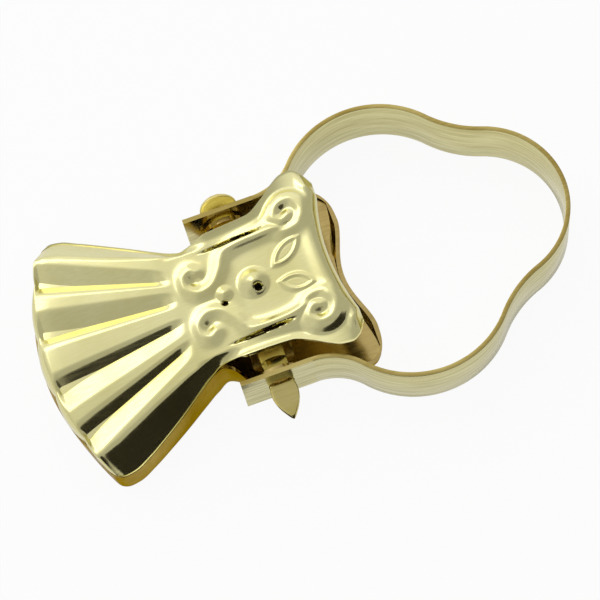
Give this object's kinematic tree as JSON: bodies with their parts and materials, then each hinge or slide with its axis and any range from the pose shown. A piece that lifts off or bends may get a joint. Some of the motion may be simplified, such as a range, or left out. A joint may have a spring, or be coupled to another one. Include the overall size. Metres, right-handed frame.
{
  "type": "curtain ring with clip",
  "caption": "Lobed flat-strip curtain ring hinged to a sprung clip with a fluted fan mouth and a winged, scroll-pressed head that is pinched to open it.",
  "frame": {"origin": "middle of the eye that the curtain rod passes through, half way up the strip's width", "axes": "+X from the clip's fan to the ring's far end, +Y along the pivot bar, +Z out of the front jaw"},
  "size_m": [0.0598, 0.032, 0.0093],
  "materials": {
    "polished_brass": "polished",
    "spring_wire": "drawn"
  },
  "bodies": {
    "back": {"back_jaw": "polished_brass", "pivot_bar": "polished_brass", "torsion_spring": "spring_wire"},
    "front": {"front_jaw": "polished_brass"},
    "ring": {"ring_strip": "polished_brass"}
  },
  "joints": [
    {"name": "jaw_hinge", "type": "hinge", "parent": "back", "child": "front", "pos_m": [-0.0215, 0, 0], "axis": [0, 1, 0], "range_deg": [0, 22], "stiffness_Nm_per_rad": 0.02, "springref_deg": -22.92, "deforming": ["torsion_spring"]},
    {"name": "ring_swing", "type": "hinge", "parent": "back", "child": "ring", "pos_m": [-0.0215, 0, 0], "axis": [0, -1, 0], "range_deg": [-120, 120]}
  ]
}
